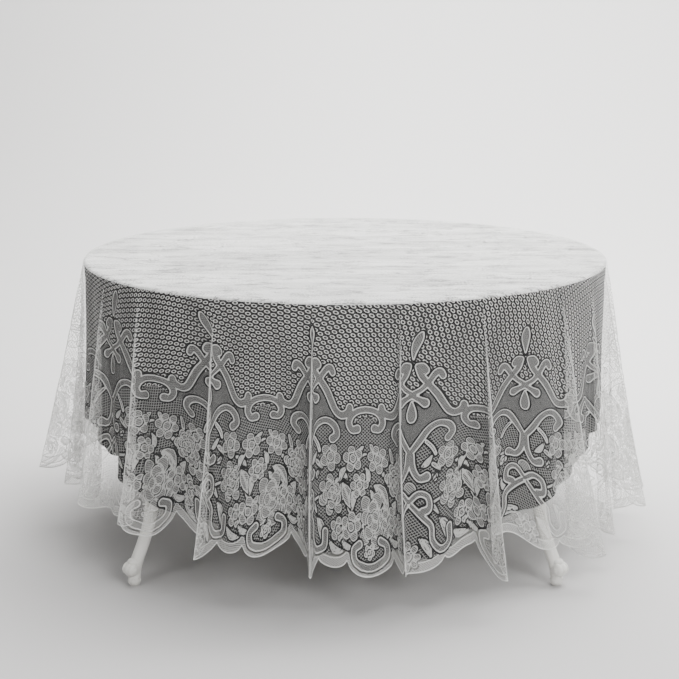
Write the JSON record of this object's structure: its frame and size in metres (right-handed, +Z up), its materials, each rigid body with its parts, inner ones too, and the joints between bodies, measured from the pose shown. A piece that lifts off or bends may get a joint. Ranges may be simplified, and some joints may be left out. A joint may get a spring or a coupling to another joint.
{
  "type": "dressed round table",
  "caption": "Sheer round lace tablecloth with a scalloped hem, draped over a dark under-cloth and a light liner on a round cabriole-leg table.",
  "frame": {"origin": "on the floor, under the middle of the table", "axes": "+Z up, front of the table towards -Y, +X to the right seen from the front"},
  "size_m": [1.8406, 1.8406, 0.7679],
  "materials": {
    "lace": "sheer open-work lace, matt off-white",
    "under_cloth": "plain matt black woven cloth",
    "liner": "plain matt white woven cloth",
    "white_paint": "satin white painted wood",
    "beech": "bare planed beech",
    "steel": "zinc-plated",
    "nylon": "moulded"
  },
  "bodies": {
    "table": {"apron_back": "white_paint", "apron_front": "white_paint", "apron_left": "white_paint", "apron_right": "white_paint", "corner_block_back_left": "beech", "corner_block_back_right": "beech", "corner_block_front_left": "beech", "corner_block_front_right": "beech", "foot_pad_back_left": "white_paint", "foot_pad_back_right": "white_paint", "foot_pad_front_left": "white_paint", "foot_pad_front_right": "white_paint", "glide_back_left": "nylon", "glide_back_right": "nylon", "glide_front_left": "nylon", "glide_front_right": "nylon", "hanger_bolt_back_left": "steel", "hanger_bolt_back_right": "steel", "hanger_bolt_front_left": "steel", "hanger_bolt_front_right": "steel", "leg_back_left": "white_paint", "leg_back_right": "white_paint", "leg_front_left": "white_paint", "leg_front_right": "white_paint", "nut_back_left": "steel", "nut_back_right": "steel", "nut_front_left": "steel", "nut_front_right": "steel", "screw_rail_back": "steel", "screw_rail_front": "steel", "screw_rail_left": "steel", "screw_rail_right": "steel", "screw_top_back": "steel", "screw_top_front": "steel", "screw_top_left": "steel", "screw_top_right": "steel", "table_top": "white_paint", "top_bracket_back": "steel", "top_bracket_front": "steel", "top_bracket_left": "steel", "top_bracket_right": "steel"},
    "under_cloth": {"under_cloth": "under_cloth"},
    "liner": {"table_liner": "liner"},
    "lace": {"lace_tablecloth": "lace"}
  },
  "joints": [
    {"name": "under_cloth_lift", "type": "slide", "parent": "table", "child": "under_cloth", "axis": [0, 0, 1], "range_m": [0, 0.7]},
    {"name": "liner_lift", "type": "slide", "parent": "under_cloth", "child": "liner", "axis": [0, 0, 1], "range_m": [0, 0.7]},
    {"name": "lace_lift", "type": "slide", "parent": "liner", "child": "lace", "axis": [0, 0, 1], "range_m": [0, 0.7]}
  ]
}
